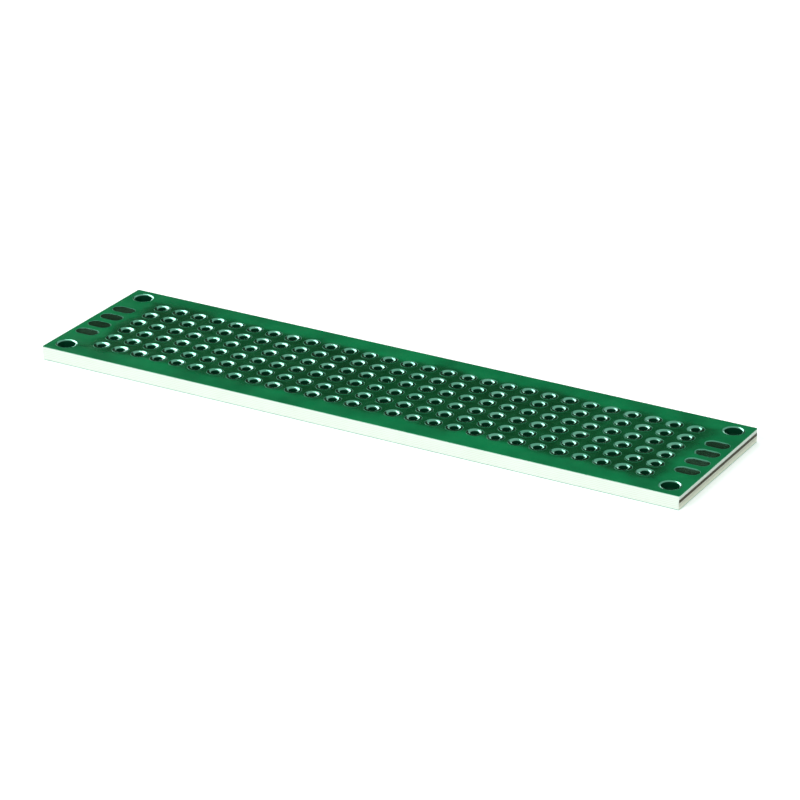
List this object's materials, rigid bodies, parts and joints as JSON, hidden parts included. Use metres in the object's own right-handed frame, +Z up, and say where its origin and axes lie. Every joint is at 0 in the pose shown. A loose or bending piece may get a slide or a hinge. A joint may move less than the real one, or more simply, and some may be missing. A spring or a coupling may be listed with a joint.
{
  "type": "prototype board",
  "caption": "Small double-sided prototype board with a grid of plated lead holes, edge contacts at both ends and a plated mounting hole in each corner.",
  "frame": {"origin": "middle of the underside", "axes": "+X along the board's length, +Y across it, +Z up through its thickness"},
  "size_m": [0.08, 0.02, 0.0016],
  "materials": {
    "glass_epoxy": "bare glass-epoxy laminate with cut edges",
    "lacquer": "glossy green solder lacquer",
    "tinned_metal": "bright hot-dipped tin over copper"
  },
  "bodies": {
    "root": {"sheet": "glass_epoxy", "mask_top": "lacquer", "mask_bottom": "lacquer", "mounting_rim_front_left": "tinned_metal", "mounting_rim_front_right": "tinned_metal", "mounting_rim_back_left": "tinned_metal", "mounting_rim_back_right": "tinned_metal", "contact_left_top_1": "tinned_metal", "contact_left_top_2": "tinned_metal", "contact_left_top_3": "tinned_metal", "contact_left_top_4": "tinned_metal", "contact_left_bottom_1": "tinned_metal", "contact_left_bottom_2": "tinned_metal", "contact_left_bottom_3": "tinned_metal", "contact_left_bottom_4": "tinned_metal", "contact_right_top_1": "tinned_metal", "contact_right_top_2": "tinned_metal", "contact_right_top_3": "tinned_metal", "contact_right_top_4": "tinned_metal", "contact_right_bottom_1": "tinned_metal", "contact_right_bottom_2": "tinned_metal", "contact_right_bottom_3": "tinned_metal", "contact_right_bottom_4": "tinned_metal", "plated_holes_column_01": "tinned_metal", "plated_holes_column_02": "tinned_metal", "plated_holes_column_03": "tinned_metal", "plated_holes_column_04": "tinned_metal", "plated_holes_column_05": "tinned_metal", "plated_holes_column_06": "tinned_metal", "plated_holes_column_07": "tinned_metal", "plated_holes_column_08": "tinned_metal", "plated_holes_column_09": "tinned_metal", "plated_holes_column_10": "tinned_metal", "plated_holes_column_11": "tinned_metal", "plated_holes_column_12": "tinned_metal", "plated_holes_column_13": "tinned_metal", "plated_holes_column_14": "tinned_metal", "plated_holes_column_15": "tinned_metal", "plated_holes_column_16": "tinned_metal", "plated_holes_column_17": "tinned_metal", "plated_holes_column_18": "tinned_metal", "plated_holes_column_19": "tinned_metal", "plated_holes_column_20": "tinned_metal", "plated_holes_column_21": "tinned_metal", "plated_holes_column_22": "tinned_metal", "plated_holes_column_23": "tinned_metal", "plated_holes_column_24": "tinned_metal", "plated_holes_column_25": "tinned_metal", "plated_holes_column_26": "tinned_metal", "plated_holes_column_27": "tinned_metal", "plated_holes_column_28": "tinned_metal"}
  },
  "joints": []
}
